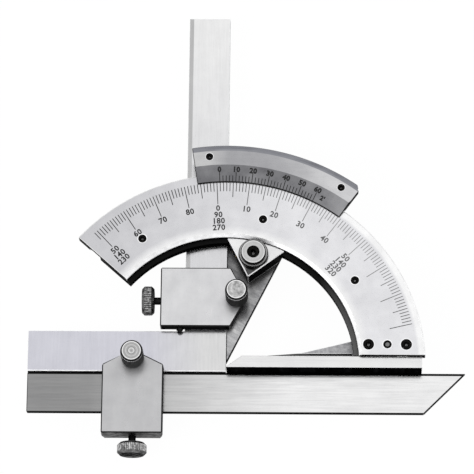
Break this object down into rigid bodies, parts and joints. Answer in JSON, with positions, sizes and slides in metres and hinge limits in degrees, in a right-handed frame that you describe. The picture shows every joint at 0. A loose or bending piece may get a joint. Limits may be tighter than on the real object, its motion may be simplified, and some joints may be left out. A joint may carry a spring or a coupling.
{
  "type": "universal bevel protractor",
  "caption": "Angle finder with a swinging sector plate under a curved degree scale, a vernier, a clamped sliding square and a clamped sliding straightedge.",
  "frame": {"origin": "the vertex of the measured angle, where all the measuring edges meet and about which the sector swings, at the back face of the arms", "axes": "+X along the base's measuring face away from the vertex, +Y up the square's upright leg, +Z out of the dial face"},
  "size_m": [0.1657, 0.1742, 0.0278],
  "materials": {
    "scale_satin": "satin chrome scale",
    "ground_steel": "ground steel",
    "clamp_steel": "fine satin",
    "gear_steel": "dark oiled steel",
    "knurled_steel": "turned and knurled",
    "bush_brass": "turned",
    "black_screw": "black oxide"
  },
  "bodies": {
    "base_frame": {"main_plate": "scale_satin", "sector_gear": "gear_steel", "gear_screws": "black_screw", "base_blade": "ground_steel", "base_screws": "black_screw", "base_dowel": "black_screw"},
    "sector": {"sector_plate": "ground_steel", "vernier_bridge": "ground_steel", "vernier": "scale_satin", "vernier_screws": "black_screw", "bridge_screws": "black_screw", "brake_block": "clamp_steel", "brake_stud": "black_screw", "pinion_bush": "bush_brass", "upper_clamp_block": "clamp_steel", "upper_pressure_pad": "gear_steel", "upper_pad_pin": "gear_steel"},
    "pinion_shaft": {"pinion": "gear_steel", "back_knob": "knurled_steel", "knob_grub": "black_screw"},
    "brake_nut": {"lock_nut": "knurled_steel"},
    "upper_knob": {"upper_clamp_knob": "knurled_steel"},
    "upper_thumb": {"upper_thumb_screw": "knurled_steel"},
    "square_arm": {"square": "ground_steel", "lower_clamp_block": "clamp_steel", "lower_pressure_pad": "gear_steel", "lower_pad_pin": "gear_steel"},
    "lower_knob": {"lower_clamp_knob": "knurled_steel"},
    "lower_thumb": {"lower_thumb_screw": "knurled_steel"},
    "straightedge_arm": {"straightedge": "ground_steel"}
  },
  "joints": [
    {"name": "sector_swing", "type": "hinge", "parent": "base_frame", "child": "sector", "pos_m": [0, 0, 0], "axis": [0, 0, 1], "range_deg": [-50, 0]},
    {"name": "pinion_spin", "type": "hinge", "parent": "sector", "child": "pinion_shaft", "pos_m": [0.00567, 0.04615, 0], "axis": [0, 0, 1], "range_deg": [0, 981]},
    {"name": "lock_nut_turn", "type": "hinge", "parent": "sector", "child": "brake_nut", "pos_m": [0.01017, 0.04353, 0], "axis": [0, 0, 1], "range_deg": [0, 360]},
    {"name": "upper_knob_turn", "type": "hinge", "parent": "sector", "child": "upper_knob", "pos_m": [0.004, 0.02805, 0], "axis": [0, 0, 1], "range_deg": [0, 360]},
    {"name": "upper_thumb_turn", "type": "hinge", "parent": "sector", "child": "upper_thumb", "pos_m": [-0.025, 0.02805, 0.00135], "axis": [1, 0, 0], "range_deg": [0, 360]},
    {"name": "square_slide", "type": "slide", "parent": "sector", "child": "square_arm", "axis": [0, 1, 0], "range_m": [-0.095, 0]},
    {"name": "lower_knob_turn", "type": "hinge", "parent": "square_arm", "child": "lower_knob", "pos_m": [-0.035, 0.004, 0], "axis": [0, 0, 1], "range_deg": [0, 360]},
    {"name": "lower_thumb_turn", "type": "hinge", "parent": "square_arm", "child": "lower_thumb", "pos_m": [-0.035, -0.025, 0.00135], "axis": [0, 1, 0], "range_deg": [0, 360]},
    {"name": "straightedge_slide", "type": "slide", "parent": "square_arm", "child": "straightedge_arm", "axis": [1, 0, 0], "range_m": [-0.09, 0.025]}
  ],
  "couplings": [
    {"joint": "pinion_spin", "follows": "sector_swing", "ratio": -19.6}
  ]
}
